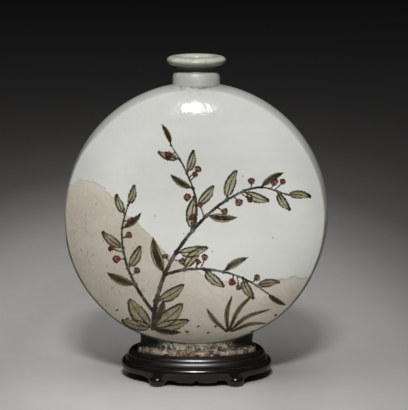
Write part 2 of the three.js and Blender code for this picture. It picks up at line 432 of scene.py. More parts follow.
# Each stem's points (x, z), its half width at the root and at the tip, and its leaves as (share
# along the stem, side, length, half width, spread in degrees).
STEMS = [
    ([(-34, 46), (-31, 72), (-21, 100), (-2, 128), (22, 150), (48, 161), (73, 154)], 1.9, 0.5, [
        (0.16, -1, 25, 4.2, 50), (0.29, 1, 29, 4.6, 46), (0.39, -1, 24, 4.0, 54), (0.50, 1, 26, 4.2, 40),
        (0.59, -1, 22, 3.8, 52), (0.68, 1, 24, 3.8, 44), (0.77, -1, 21, 3.4, 48), (0.86, 1, 20, 3.2, 42),
        (0.94, -1, 18, 2.9, 40), (1.0, 1, 19, 2.8, 12)]),
    ([(-33, 60), (-46, 80), (-55, 102), (-58, 126), (-53, 148)], 1.3, 0.45, [
        (0.30, 1, 22, 3.8, 44), (0.45, -1, 20, 3.5, 52), (0.62, 1, 20, 3.3, 46), (0.78, -1, 18, 3.0, 48),
        (0.90, 1, 17, 2.8, 42), (1.0, -1, 17, 2.6, 10)]),
    ([(-24, 92), (-6, 96), (16, 95), (38, 88), (57, 75)], 1.2, 0.45, [
        (0.22, 1, 22, 3.8, 46), (0.40, -1, 21, 3.6, 44), (0.56, 1, 21, 3.4, 50), (0.74, -1, 19, 3.1, 44),
        (0.88, 1, 18, 2.9, 46), (1.0, -1, 18, 2.7, 8)]),
    ([(-2, 128), (0, 150), (-8, 174), (-20, 195)], 1.0, 0.4, [
        (0.30, -1, 20, 3.3, 48), (0.48, 1, 20, 3.2, 44), (0.66, -1, 18, 2.9, 46), (0.82, 1, 17, 2.7, 44),
        (1.0, -1, 17, 2.5, 10)]),
]
# How far a leaf bends back along its length, in degrees.
LEAF_BEND = 26
LEAF_POINTS = 16
# Every third leaf is one loaded dark stroke.
DARK_LEAF = 3
# Broad leaves at the root: (heading in degrees, length, half width).
ROOT = (-35, 47)
ROOT_LEAVES = [(168, 23, 4.6), (128, 29, 5.6), (64, 24, 4.4), (36, 31, 5.8), (8, 29, 4.8), (-16, 22, 3.8)]
ROOT_BEND = 24
# Blades of grass: points (x, z).
BLADES = [
    [(26, 44), (33, 62), (45, 76)], [(27, 44), (40, 56), (58, 62)], [(25, 44), (24, 60), (28, 74)],
    [(24, 43), (14, 54), (8, 64)], [(28, 43), (42, 49), (55, 49)],
]
# Berries: (stem, share along it, how far off, to which side).
BERRIES = [
    (0, 0.34, 6.0, 1), (0, 0.37, 7.4, -1), (0, 0.54, 6.4, 1), (0, 0.57, 10.5, 1), (0, 0.63, 6.4, -1),
    (0, 0.72, 6.0, -1), (0, 0.76, 9.0, -1), (0, 0.81, 5.6, 1), (0, 0.90, 5.6, 1), (0, 0.93, 9.0, 1),
    (1, 0.38, 5.8, -1), (1, 0.54, 6.0, 1), (1, 0.59, 9.6, 1), (1, 0.70, 5.4, -1), (1, 0.85, 5.4, -1),
    (2, 0.32, 6.0, 1), (2, 0.36, 9.6, 1), (2, 0.65, 5.8, -1), (2, 0.69, 9.2, -1), (2, 0.82, 5.4, 1),
    (3, 0.40, 5.8, 1), (3, 0.57, 5.8, -1), (3, 0.61, 9.2, -1), (3, 0.90, 5.2, 1),
]
# Their radii, and the angles that they stand off the stem by, in turn.
BERRY_SIZES = (2.1, 2.45, 2.8)
BERRY_ANGLES = (62, 71, 80)
# Loose dots of ink on the ground, and their radii, in turn.
DOTS = [(-62, 62), (-54, 55), (-8, 43), (1, 48), (9, 42), (15, 48), (44, 42), (62, 56), (-20, 41),
        (-47, 42)]
DOT_SIZES = (0.6, 0.8, 1.0)


def curve_through(points, count):
    """A smooth curve through points, as count positions along it."""
    points = np.asarray(points, float)
    padded = np.vstack([2 * points[0] - points[1], points, 2 * points[-1] - points[-2]])
    t = np.linspace(0, len(points) - 1 - 1e-9, count)
    i = t.astype(int)
    f = (t - i)[:, None]
    p0, p1, p2, p3 = (padded[i + k] for k in range(4))
    return 0.5 * (2 * p1 + (p2 - p0) * f + (2 * p0 - 5 * p1 + 4 * p2 - p3) * f ** 2
                  + (3 * p1 - p0 - 3 * p2 + p3) * f ** 3)


class Painting:
    """Signed distances to the brush strokes of one colour, over points (x, z)."""

    def __init__(self, points):
        self.points = points
        self.distance = np.full(len(points), REACH)

    def stroke(self, path, widths):
        """A brush stroke with a half width at each point of its path."""
        path = np.asarray(path, float)
        margin = REACH + np.max(widths)
        low, high = path.min(0) - margin, path.max(0) + margin
        near = np.where(np.all((self.points > low) & (self.points < high), axis=1))[0]
        here = self.points[near]
        best = self.distance[near]
        for k in range(len(path) - 1):
            along = path[k + 1] - path[k]
            t = np.clip((here - path[k]) @ along / max(along @ along, 1e-9), 0, 1)
            gap = here - path[k] - t[:, None] * along
            width = widths[k] + (widths[k + 1] - widths[k]) * t
            best = np.minimum(best, np.hypot(gap[:, 0], gap[:, 1]) - width)
        self.distance[near] = best

    def draw(self, path, start, end, belly=0.0):
        """A stroke whose half width runs from start to end, with a belly in the middle."""
        t = np.linspace(0, 1, len(path))
        self.stroke(path, start + (end - start) * t + belly * np.sin(math.pi * t) ** 0.8)

    def dot(self, place, radius):
        place = np.asarray(place, float)
        self.stroke([place, place + [0.01, 0]], [radius, radius])


def leaf(line, wash, root, heading, length, width, bend, dark):
    """A lance-shaped leaf: a wash, a midrib and a broken outline, or one loaded dark stroke."""
    t = np.linspace(0, 1, LEAF_POINTS)
    turn = np.radians(heading + bend * (t - 0.3))
    steps = np.stack([np.cos(turn), np.sin(turn)], axis=1) * length / (LEAF_POINTS - 1)
    spine = np.asarray(root, float) + np.cumsum(steps, axis=0)
    half = width * np.sin(math.pi * t ** 0.85) ** 0.75
    wash.stroke(spine, np.maximum(half - 0.25, 0.1))
    if dark:
        line.stroke(spine, np.maximum(0.52 * half, 0.2))
        return
    across = np.stack([-np.sin(turn), np.cos(turn)], axis=1) * half[:, None]
    line.draw(spine[:-2], 0.55, 0.2)
    line.draw((spine + across)[1:-1], 0.3, 0.75)
    line.draw((spine - across)[2:-5], 0.55, 0.2)
    line.dot(spine[-2], 0.85)


def berry_on(line, berry, root, heading, off, size):
    """A berry on a thin stalk, with an arc of ink round its far side."""
    turn = math.radians(heading)
    place = root + off * np.array([math.cos(turn), math.sin(turn)])
    line.draw(curve_through([root, (root + place) / 2 + [0.3, -0.3], place], 8), 0.5, 0.4)
    berry.dot(place, size)
    rim = np.radians(heading + np.linspace(-70, 80, 9))
    line.draw(place + size * np.stack([np.cos(rim), np.sin(rim)], axis=1), 0.3, 0.75)


def spray(points):
    """The painted spray over points (x, z): the distances to its lines, washes and berries."""
    line, wash, berry = Painting(points), Painting(points), Painting(points)
    curves = [curve_through(stem[0], 60) for stem in STEMS]

    def along(index, share):
        """A place on a stem, and the stem's heading there in degrees."""
        curve = curves[index]
        place = min(int(share * (len(curve) - 1)), len(curve) - 2)
        ahead = curve[place + 1] - curve[place]
        return curve[place], math.degrees(math.atan2(ahead[1], ahead[0]))

    for index, (_, start, end, leaves) in enumerate(STEMS):
        line.draw(curves[index], start, end)
        for number, (share, side, length, width, spread) in enumerate(leaves):
            root, heading = along(index, share)
            dark = (number + index) % DARK_LEAF == 1
            leaf(line, wash, root, heading + side * spread, length, width, -side * LEAF_BEND, dark)
            line.dot(root, start * (1 - share) + 0.9)
    for number, (heading, length, width) in enumerate(ROOT_LEAVES):
        bend = ROOT_BEND if heading < 90 else -ROOT_BEND
        leaf(line, wash, ROOT, heading, length, width, bend, number % DARK_LEAF == 2)
    for blade in BLADES:
        path = curve_through(blade, 20)
        wash.draw(path, 0.6, 0.3, 1.5)
        line.draw(path, 0.9, 0.25)
    for place, size in zip(DOTS, itertools.cycle(DOT_SIZES)):
        line.draw([place, np.add(place, (1.6, 0.5))], size, 0.4)
    kinds = itertools.cycle(zip(BERRY_SIZES, BERRY_ANGLES))
    for (index, share, off, side), (size, angle) in zip(BERRIES, kinds):
        root, heading = along(index, share)
        berry_on(line, berry, root, heading + side * angle, off, size)
    return line.distance, wash.distance, berry.distance


# The lower edge of the white glaze, as (x, z), in front and behind, and its waves.
GLAZE_FRONT = [(-106, 156), (-100.2, 157), (-94.6, 160.5), (-89, 165.6), (-81.6, 165.2), (-71.6, 160),
               (-64, 152.5), (-61.3, 143), (-56.4, 138), (-47.7, 135), (-39.4, 127.2), (-32.6, 117.8),
               (-25.8, 110.8), (-18.9, 105), (-9.8, 100.2), (4, 90), (16.2, 85.6), (28, 85.4), (42, 84.2),
               (55.9, 85), (66.3, 87.5), (81.7, 86.8), (95, 84), (106, 84)]
GLAZE_BACK = [(-106, 156), (-90, 132), (-70, 108), (-48, 96), (-20, 88), (8, 92), (34, 101), (60, 99),
              (84, 88), (106, 84)]
EDGE_WAVES = ((0.9, 13.0, 11), (0.5, 5.5, 13))
BACK_WAVES = ((2.5, 34.0, 31),)
# How much wider the brown painted shade on the crease is at the lower left, and over which bearings.
CREASE_SHADE_WIDER = 0.8
CREASE_SHADE_BEARINGS = (180, 200, 245, 262)


def glaze_edge(points):
    """Signed distance to the bare slip: below 0 the slip shows."""
    x, y, z = points.T
    front = np.interp(x, *np.array(GLAZE_FRONT).T)
    back = np.interp(x, *np.array(GLAZE_BACK).T)
    share = smoothstep(y, -BAND_DEPTH, BAND_DEPTH)
    edge = front * (1 - share) + back * share
    ragged = waves(points, EDGE_WAVES) + share * waves(points, BACK_WAVES)
    return np.clip((z - edge) * 0.8 + ragged, -60, 60)


def dress_body(obj, front):
    """Lays the glaze's edge, the radius read by the crease's painted shade and, in front, the painting on
    half a body.
    """
    points = coordinates(obj)
    radius, bearing = from_middle(points)
    paint(obj, "slip", glaze_edge(points))
    # The radius, let out at the lower left, from which the brown painted shade along the crease is drawn.
    paint(obj, "reach", radius + CREASE_SHADE_WIDER * plateau(bearing, *CREASE_SHADE_BEARINGS))
    layers = [np.full(len(points), REACH)] * 3
    if front:
        outside = (points[:, 1] < -BAND_DEPTH) & (-points[:, 1] > face_depth(radius) - 1.5)
        layers = [np.where(outside, layer, REACH) for layer in spray(points[:, [0, 2]])]
    for name, layer in zip(("line", "wash", "berry"), layers):
        paint(obj, name, layer)


# Neck and mouth

def lathe_levels(profile, steps=LATHE_STEPS):
    angle = around(steps)
    return np.array([np.stack([r * np.cos(angle), r * np.sin(angle), np.full(steps, z)], axis=1)
                     for r, z in profile])


def arc(centre, radii, start, end, count):
    """Points of an ellipse's arc, angles in degrees."""
    angle = np.radians(np.linspace(start, end, count))
    return np.stack([centre[0] + radii[0] * np.cos(angle), centre[1] + radii[1] * np.sin(angle)], axis=1)


def neck_collar():
    angle = around(LATHE_STEPS)

    def level(radius, height):
        flat = np.broadcast_to(height, LATHE_STEPS)
        return np.stack([radius * np.cos(angle), radius * np.sin(angle), flat], axis=1)

    def seat(radius):
        return MIDDLE + body_height(radius * np.cos(angle), radius * np.sin(angle))

    # Glaze fills the corner between the collar and the shoulder, more in one place than in another.
    fillet = FILLET * (1 + waves(level(COLLAR, 0), FILLET_WAVES))
    levels = []
    for slope in np.linspace(0, math.pi / 2, 7):
        radius = COLLAR + fillet * (1 - math.sin(slope))
        levels.append(level(radius, seat(radius) - COLLAR_SUNK + fillet * (1 - math.cos(slope))))
    top = NECK_TOP - GROOVE_HEIGHT
    start = seat(COLLAR) - COLLAR_SUNK + fillet
    for share in np.linspace(0, 1, 8)[1:-1]:
        levels.append(level(COLLAR, start + (top - SHOULDER - start) * share))
    shoulder = arc((GROOVE, top - SHOULDER), (COLLAR - GROOVE, SHOULDER), 0, 90, 14)
    t = np.linspace(0, 1, 9)[1:]
    groove = np.stack([GROOVE - GROOVE_HOLLOW * t * (1 - t), top + GROOVE_HEIGHT * t], axis=1)
    levels += [level(r, z) for r, z in (*shoulder, *groove, (NECK_BORE, NECK_TOP))]
    levels.append(level(NECK_BORE, seat(NECK_BORE) + BORE_LIFT))
    return ring_object("flask_collar", levels)


def mouth_lip():
    roll = LIP - LIP_CREST
    base, top = LIP_LOW[2], LIP_HIGH[2]
    profile = np.vstack([
        [[MOUTH, base]],
        arc((LIP_CREST, LIP_WIDEST), (roll, LIP_WIDEST - base), -90, 0, 16),
        arc((LIP_CREST, LIP_WIDEST), (roll, top - LIP_WIDEST), 0, 90, 16)[1:],
        arc((LIP_CREST, top - MOUTH_EASE), (LIP_CREST - MOUTH, MOUTH_EASE), 90, 180, 14)[1:],
    ])
    return ring_object("flask_lip", lathe_levels(profile))


# Foot and stand

def oval(half_length, half_depth, steps=OVAL_STEPS):
    angle = around(steps)
    along, across = np.cos(angle), np.sin(angle)
    bend = 2 / OVAL_FULLNESS
    return np.stack([half_length * np.sign(along) * np.abs(along) ** bend,
                     half_depth * np.sign(across) * np.abs(across) ** bend], axis=1)


def oval_level(plan, grow, height, steps=OVAL_STEPS):
    outline = oval(plan[0] + grow, plan[1] + grow, steps)
    return np.column_stack([outline, np.broadcast_to(height, steps)])


def under_body(plan):
    """Height of the body's underside over each point of an oval."""
    return MIDDLE - body_height(*oval(*plan).T)


def foot_levels():
    """The flange, the cove over it, the waist up into the body, and the inside down again."""
    sole = [(-0.5, 0), (-0.1, 0.4)]
    side = [(0, height) for height in np.linspace(0.8, FLANGE - FLANGE_ROUND, 5)]
    edge = arc((-FLANGE_ROUND, FLANGE - FLANGE_ROUND), (FLANGE_ROUND, FLANGE_ROUND), 10, 80, 7)
    levels = [oval_level(FOOT_HIGH, grow, SEAT + height) for grow, height in (*sole, *side, *edge)]
    cove = [(0.75, 0.7), (0.35, 1.3), (0.1, 2.0), (0, 3.0)]
    levels += [oval_level(WAIST, grow, FLANGE_TOP + height) for grow, height in cove]
    start = FLANGE_TOP + cove[-1][1]
    rise = under_body(WAIST) + FOOT_SUNK - start
    levels += [oval_level(WAIST, 0, start + rise * share) for share in np.linspace(0, 1, 12)[1:]]
    inner_top = under_body((WAIST[0] - FOOT_WALL, WAIST[1] - FOOT_WALL)) + FOOT_SUNK
    levels += [oval_level(WAIST, -FOOT_WALL, height) for height in (inner_top, SEAT)]
    return np.array(levels)


def foot_ring():
    levels = foot_levels()
    points = levels.reshape(-1, 3)
    # The glaze stops in uneven drips under the body, longer in the middle than at the ends.
    above = np.tile(under_body(WAIST), len(levels)) - points[:, 2]
    run = DRIP_RUN - DRIP_LESS * smoothstep(np.abs(points[:, 0]), 20, 34)
    reach = above - np.maximum(run + waves(points * [1, 1, 0], DRIP_WAVES), DRIP_LEAST)
    thick = DRIP_THICKNESS * smoothstep(-reach, -0.2, 0.9) + waves(points, THICKNESS_WAVES)
    waist = np.where(inside_of(levels), 0, thick) - FOOT_WORN
    flange = hollows(points, FLANGE_WAVES)
    outward = points[:, :2] / np.maximum(np.hypot(points[:, 0], points[:, 1]), 1)[:, None]
    points[:, :2] += outward * np.where(points[:, 2] > FLANGE_TOP, waist, flange)[:, None]
    obj = ring_object("flask_foot", levels)
    paint(obj, "drip", np.clip(reach, -REACH, REACH))
    return obj


def moulding(plan, low, high, lean):
    """Levels of a short upright step, the arris under it eased, and of a gently rounded face above
    it that leans in by lean degrees, at its foot and at its top."""
    first, last = np.radians(lean)
    start = low + MOULDING_STEP
    radius = (high - start) / (math.sin(last) - math.sin(first))
    centre = (-radius * math.cos(first), start - radius * math.sin(first))
    step = [(-0.3, low), (-0.08, low + 0.1), (0, low + 0.35)]
    face = arc(centre, (radius, radius), *lean, 14)
    return [oval_level(plan, grow, height) for grow, height in (*step, *face)]


def gallery_rim():
    top = RAIL[2]
    inner = [(RAIL_EASE / 2, top - RAIL_EASE / 6), (0, top - RAIL_EASE), (0, SEAT)]
    levels = moulding(RAIL, SEAT, top, RAIL_LEAN)
    levels += [oval_level(RAIL, grow - RAIL_WIDTH, height) for grow, height in inner]
    return ring_object("stand_gallery", levels)


def seat_board():
    return board_object("stand_board", moulding(BOARD_HIGH, BOARD_LOW[2], BOARD_HIGH[2], BOARD_LEAN))


def hem_height(x):
    """Height of the apron's lower edge: two lobes with a notch between them, a recess beside each
    foot, a knee down over it, and one long arch round each end."""
    reach = np.abs(x)
    from_foot = BALL_SPACING - reach
    arch = END_ARCH * smoothstep(-from_foot, 5, 13)
    recess = HEM_RECESS * plateau(from_foot, 5, 8, 13, 16)
    notch = HEM_NOTCH * (1 - smoothstep(reach, 0, 3))
    knee = KNEE_DROP * (1 - smoothstep(np.abs(from_foot), 2.5, 6.5))
    return APRON_LOW[2] + np.where(from_foot < 0, arch, recess + notch) - knee


def apron():
    steps = 2 * OVAL_STEPS
    hem = hem_height(oval(*APRON_HIGH[:2], steps)[:, 0])
    widest = APRON_TOP - APRON_SHOULDER
    profile = [(-APRON_TUCK - 0.5, hem), (-APRON_TUCK - 0.1, hem + 0.35)]
    for share in np.linspace(0.08, 1, 12):
        profile.append((-APRON_TUCK * (1 - share) ** 2, hem + (widest - hem) * share))
    profile += [*arc((-APRON_SWELL, widest), (APRON_SWELL, APRON_SHOULDER), 8, 90, 12)]
    profile += [(-APRON_WALL, APRON_TOP), (-APRON_WALL, hem)]
    levels = np.array([oval_level(APRON_HIGH, grow, height, steps) for grow, height in profile])
    # The face swells out over each ball foot.
    points = levels.reshape(-1, 3)
    swell = KNEE_SWELL * bell(np.abs(points[:, 0]), BALL_SPACING, 6.5) * (1 - smoothstep(points[:, 2], 3, 13))
    points[:, 1] += np.sign(points[:, 1]) * np.where(inside_of(levels), 0, swell)
    return ring_object("stand_apron", levels)


def ball_foot(node, name):
    low, high = box_mm(node)
    half = high[2] / 2
    profile = arc((BALL_FLAT, half), (BALL - BALL_FLAT, half), -90, 90, 27)
    levels = lathe_levels(profile, BALL_STEPS)
    levels[:, :, :2] += (low + high)[:2] / 2
    return board_object(name, levels)


# Materials

class Look:
    """A material built a node at a time. Distances in it are millimetres of the object."""

    def __init__(self, name, **sockets):
        self.material = bpy.data.materials.new(name)
        self.material.use_nodes = True
        self.tree = self.material.node_tree
        self.shader = self.tree.nodes["Principled BSDF"]
        for socket, value in sockets.items():
            self.shader.inputs[socket.replace("_", " ")].default_value = value
        place = self.tree.nodes.new("ShaderNodeTexCoord").outputs["Object"]
        self.place = self.vector("SCALE", place, 1 / MM)
        self.x, self.y, self.z = (self.axis(letter) for letter in "XYZ")

    def put(self, node, index, value):
        if isinstance(value, bpy.types.NodeSocket):
            self.tree.links.new(value, node.inputs[index])
        else:
            node.inputs[index].default_value = value

    def node(self, kind, values):
        """A new node of one kind, with its inputs linked or set."""
        node = self.tree.nodes.new("ShaderNode" + kind)
        for socket, value in values.items():
            self.put(node, socket, value)
        return node

    def vector(self, operation, a, b):
        node = self.node("VectorMath", {0: a, 3 if operation == "SCALE" else 1: b})
        node.operation = operation
        return node.outputs[0]

    def length(self, place, shares):
        """Length of a vector whose parts are taken by their shares."""
        node = self.node("VectorMath", {0: self.vector("MULTIPLY", place, shares)})
        node.operation = "LENGTH"
        return node.outputs["Value"]

    def maths(self, operation, a, b=0.0):
        node = self.node("Math", {0: a, 1: b})
        node.operation = operation
        return node.outputs[0]

    def product(self, first, *others):
        for value in others:
            first = self.maths("MULTIPLY", first, value)
        return first

    def offset(self, value, middle):
        """How far a value is from middle, either way."""
        return self.maths("ABSOLUTE", self.maths("SUBTRACT", value, middle))

    def axis(self, letter):
        return self.node("SeparateXYZ", {0: self.place}).outputs[letter]

    def attribute(self, name):
        node = self.node("Attribute", {})
        node.attribute_name = name
        return node.outputs["Fac"]

    def noise(self, size, detail=3.0, stretch=(1, 1, 1), roughness=0.5, distortion=0.0):
        """Noise whose blotches are about size millimetres across."""
        place = self.place if stretch == (1, 1, 1) else self.vector("MULTIPLY", self.place, stretch)
        values = {"Vector": place, "Scale": 1 / size, "Detail": detail, "Roughness": roughness,
                  "Distortion": distortion}
        return self.node("TexNoise", values).outputs[0]

    def cells(self, size):
        """Distance to the nearest of scattered points about size millimetres apart, as a share of size."""
        return self.node("TexVoronoi", {"Vector": self.place, "Scale": 1 / size}).outputs["Distance"]

    def span(self, value, low, high, to_low=0.0, to_high=1.0):
        """Eases from to_low to to_high while a value goes from low to high, which may lie below low."""
        node = self.node("MapRange", dict(enumerate((value, low, high, to_low, to_high))))
        node.interpolation_type = "SMOOTHSTEP"
        return node.outputs[0]

    def plateau(self, value, start, full, still, end, amount=1.0):
        """amount from full to still, and 0 before start and after end."""
        return self.product(self.span(value, start, full), self.span(value, end, still, 0.0, amount))

    def patches(self, size, low, high, most=1.0, least=0.0, **noise):
        """Patches of noise: least where it is below low, and most where it is above high."""
        return self.span(self.noise(size, **noise), low, high, least, most)

    def mix(self, factor, a, b, blend="MIX"):
        """One colour turned into another by a factor. A tuple is a colour of 0 to 255 parts."""
        node = self.tree.nodes.new("ShaderNodeMix")
        node.data_type = "RGBA"
        node.blend_type = blend
        for index, value in ((0, factor), (6, a), (7, b)):
            self.put(node, index, srgb(*value) if isinstance(value, tuple) else value)
        return node.outputs[2]

    def layers(self, ground, tones):
        """Lays tones, each a share and a colour, over a ground one after another."""
        for share, colour in tones:
            ground = self.mix(share, ground, colour)
        return ground

    def bump(self, height, distance, under=None):
        """height is in shares of distance, and distance in millimetres."""
        node = self.node("Bump", {"Distance": distance * MM, "Strength": 1.0, "Height": height})
        if under is not None:
            self.put(node, "Normal", under)
        return node.outputs[0]

    def finish(self, colour, roughness=None, normal=None):
        values = {"Base Color": colour, "Roughness": roughness, "Normal": normal}
        for socket, value in values.items():
            if value is not None:
                self.put(self.shader, socket, value)
        return self.material


def white_glaze(look, rise):
    """White, greyer towards the top and near the rim by painted shade, clearer at the lower right by
    painted light, with a few flecks, and stained where it pools on the shoulder round the collar."""
    # Painted shade: the white made greyer towards the top, and greyer still at the very top.
    painted_shade_top = look.span(rise, -12.7, 72.3, 0, 0.55)
    painted_shade_crown = look.span(rise, 62.3, 103.3, 0, 0.9)
    # Painted shade: greyer near the rim above the middle, more on the left.
    outer = look.span(look.length(look.vector("SUBTRACT", look.place, (0, 0, MIDDLE)), (1, 0, 1)), 70, 103)
    rim = look.product(outer, look.span(rise, -7.7, 42.3), look.span(look.x, 40, -60, 0.4, 0.8))
    # Painted light: clearer white towards the lower right.
    painted_light_lower_right = look.span(look.maths("SUBTRACT", look.x, rise), 72.7, 162.7, 0, 0.8)
    flecks = look.span(look.cells(15), 0.06, 0.035, 0, 0.6)
    round_neck = look.span(look.length(look.place, (1, 1, 0)), COLLAR + 10.4, COLLAR + 0.4)
    shoulder = look.span(rise, HALF_HEIGHT - 10.4, HALF_HEIGHT - 4.4)
    stain = look.product(round_neck, shoulder, look.patches(3.4, 0.42, 0.68, 0.75))

    white = look.mix(look.patches(34, 0.3, 0.7), (217, 218, 212), (223, 224, 218))
    tones = ((painted_shade_top, (186, 187, 183)), (painted_shade_crown, (178, 179, 174)), (rim, (180, 181, 176)),
             (painted_light_lower_right, (232, 233, 227)), (flecks, (120, 112, 96)), (stain, (158, 150, 130)))
    return look.layers(white, tones)


def bare_slip(look, rise):
    """Bare slip, darker, scratched, chalky and pitted towards the lower left: its colour and pits."""
    uneven = look.patches(3.2, 0.45, 0.75, 0.35, detail=4)
    lower_left = look.span(look.maths("ADD", rise, look.x), -14.7, -122.7)
    far_left = look.span(look.x, -50, -95, 0, 0.35)
    scratches = look.noise(2.6, 4, (1, 1, 0.45), 0.65, 1.8)
    scratches = look.product(look.span(scratches, 0.57, 0.68, 0, 0.5), lower_left)
    chalk = look.product(look.patches(1.5, 0.62, 0.7, 0.6, stretch=(1, 1, 0.4)), lower_left)
    pits = look.product(look.patches(15, 0.45, 0.6, 0.95, detail=2), lower_left)
    pits = look.product(look.span(look.cells(4.6), 0.15, 0.07), pits)

    earth = look.mix(look.patches(26, 0.3, 0.7, detail=4), (199, 192, 178), (212, 206, 194))
    tones = ((uneven, (176, 167, 152)), (look.product(lower_left, 0.55), (164, 156, 142)),
             (far_left, (176, 167, 154)), (scratches, (116, 103, 90)), (chalk, (206, 201, 192)),
             (pits, (64, 54, 46)))
    return look.layers(earth, tones), pits


def painted_crease_shade(look, rise, ground):
    """Painted shade: greyer on the band beyond the crease, and brown on the crease itself, most of all
    below the middle."""
    depth = look.offset(look.y, 0.0)
    # Painted shade: the band beyond the crease made greyer.
    band = look.span(depth, BAND_DEPTH + 1, BAND_DEPTH - 2, 0, 0.4)
    # Painted shade: brown along the crease, more below the middle.
    edge = look.span(look.attribute("reach"), CREASE - 1.4, CREASE - 0.6)
    edge = look.product(edge, look.span(depth, BAND_DEPTH - 2.1, BAND_DEPTH - 1))
    brown = look.maths("ADD", look.span(rise, 92.3, 27.3, 0, 0.4), look.span(rise, 17.3, -28.7, 0, 0.6))
    brown = look.product(edge, brown, look.patches(11, 0.3, 0.7, 0.95, 0.65))
    return look.layers(ground, ((band, (140, 138, 131)), (brown, (70, 60, 49))))


def painted(look, ground):
    """The spray over the ground: washes pooled at their edges, berries, and lines of ink."""
    brush = look.patches(1.5, 0.25, 0.75, 0.26, -0.26)
    wash, berry, line = (look.maths("ADD", look.attribute(name), brush) for name in ("wash", "berry", "line"))
    washed = look.product(look.span(wash, 0.2, -0.25), look.patches(6, 0.3, 0.7, 1.0, 0.6))
    pooled = look.span(look.offset(wash, -0.5), 0.75, 0.15, 0, 0.8)
    ripe = look.product(look.span(berry, 0.2, -0.35), look.patches(2.2, 0.3, 0.7, 1.0, 0.8, detail=2))
    inked = look.product(look.span(line, 0.36, -0.12), look.patches(9, 0.3, 0.6, 1.0, 0.8))
    ink = look.mix(look.patches(5, 0.35, 0.7, detail=2), (36, 32, 24), (58, 42, 30))
    for share, tint in ((washed, (176, 168, 128)), (pooled, (150, 140, 98))):
        ground = look.mix(share, ground, tint, "MULTIPLY")
    return look.layers(ground, ((ripe, (112, 32, 33)), (inked, ink)))


def body_look():
    look = Look("glaze_and_slip", IOR=1.5, Specular_IOR_Level=0.26)
    rise = look.maths("SUBTRACT", look.z, MIDDLE)
    slip_gap = look.maths("ADD", look.attribute("slip"), look.patches(1.6, 0.2, 0.8, 0.7, -0.7))
    bare = look.span(slip_gap, 0.25, -0.25)
    pooled = look.plateau(slip_gap, -0.6, 0.0, 0.1, 0.9, 0.12)
    earth, pits = bare_slip(look, rise)
    ground = look.layers(white_glaze(look, rise), ((bare, earth), (pooled, (196, 186, 160))))
    ground = painted(look, painted_crease_shade(look, rise, ground))

    glaze_step = look.bump(look.span(slip_gap, 0.7, -0.5, 1, 0), 0.25)
    uneven = look.bump(look.noise(9), 0.3, glaze_step)
    combed = look.bump(look.noise(2.6, 2, (1, 1, 0.35)), 0.1, uneven)
    pitted = look.bump(look.maths("SUBTRACT", 1.0, pits), 0.2, combed)
    return look.finish(ground, look.span(bare, 0, 1, 0.17, 0.48), pitted)


def neck_look():
    look = Look("neck_glaze", IOR=1.5)
    over_neck = (NECK_TOP - 1, NECK_TOP + 1)
    # Painted shade: the groove under the lip darkened.
    groove = look.span(look.offset(look.z, NECK_TOP - GROOVE_HEIGHT / 2), 3.4, 1.2, 0, 0.9)
    # Painted shade: the lip's underside darkened.
    lip_edges = (NECK_TOP - 0.5, NECK_TOP + 0.1, LIP_WIDEST - 2.2, LIP_WIDEST + 0.4)
    painted_shade_under_lip = look.plateau(look.z, *lip_edges, 0.75)
    base = look.product(look.span(look.z, BODY_TOP + 0.2, BODY_TOP - 1.6), look.patches(5, 0.45, 0.65, 0.6))

    collar = look.mix(look.patches(12, 0.3, 0.7), (174, 177, 170), (187, 190, 184))
    lip = look.mix(look.patches(9, 0.3, 0.7), (160, 161, 148), (176, 177, 165))
    lip = look.mix(look.patches(4.5, 0.5, 0.66, 0.5, detail=4), lip, (132, 131, 112))
    tones = ((look.span(look.z, *over_neck), lip), (groove, (92, 92, 70)), (painted_shade_under_lip, (118, 119, 102)),
             (base, (104, 94, 74)))
    rough = look.span(look.z, *over_neck, 0.42, 0.2)
    return look.finish(look.layers(collar, tones), rough, look.bump(look.noise(5), 0.16))


def foot_clay(look):
    """Bare fired clay: rosy right of the middle, rusty left of it, greyer at the ends, with pale
    patches and burnt spots, fewer of them where it is rosy."""
    rosy = look.product(look.plateau(look.x, 2, 8, 15, 20), look.patches(6, 0.35, 0.55, detail=2))
    rusty = look.product(look.plateau(look.x, -30, -22, -6, 2), look.patches(4, 0.4, 0.58, 0.85))
    pale = look.patches(6.5, 0.53, 0.6, 0.9, detail=5, roughness=0.62, distortion=1.0)
    ends = look.span(look.offset(look.x, 0.0), 22, 32)
    spots = look.noise(5.5, 4, (1, 1, 0.8), 0.6, 1.4)
    spots = look.maths("ADD", spots, look.product(ends, 0.035))
    spots = look.maths("SUBTRACT", spots, look.product(rosy, 0.05))

    clay = look.mix(look.patches(7, 0.38, 0.62), (90, 76, 65), (136, 116, 98))
    tones = ((rosy, (152, 112, 101)), (rusty, (136, 102, 72)), (pale, (170, 158, 138)),
             (look.product(ends, 0.8), (138, 128, 112)),
             (look.span(spots, 0.525, 0.565, 0, 0.93), (32, 26, 22)))
    return look.layers(clay, tones)


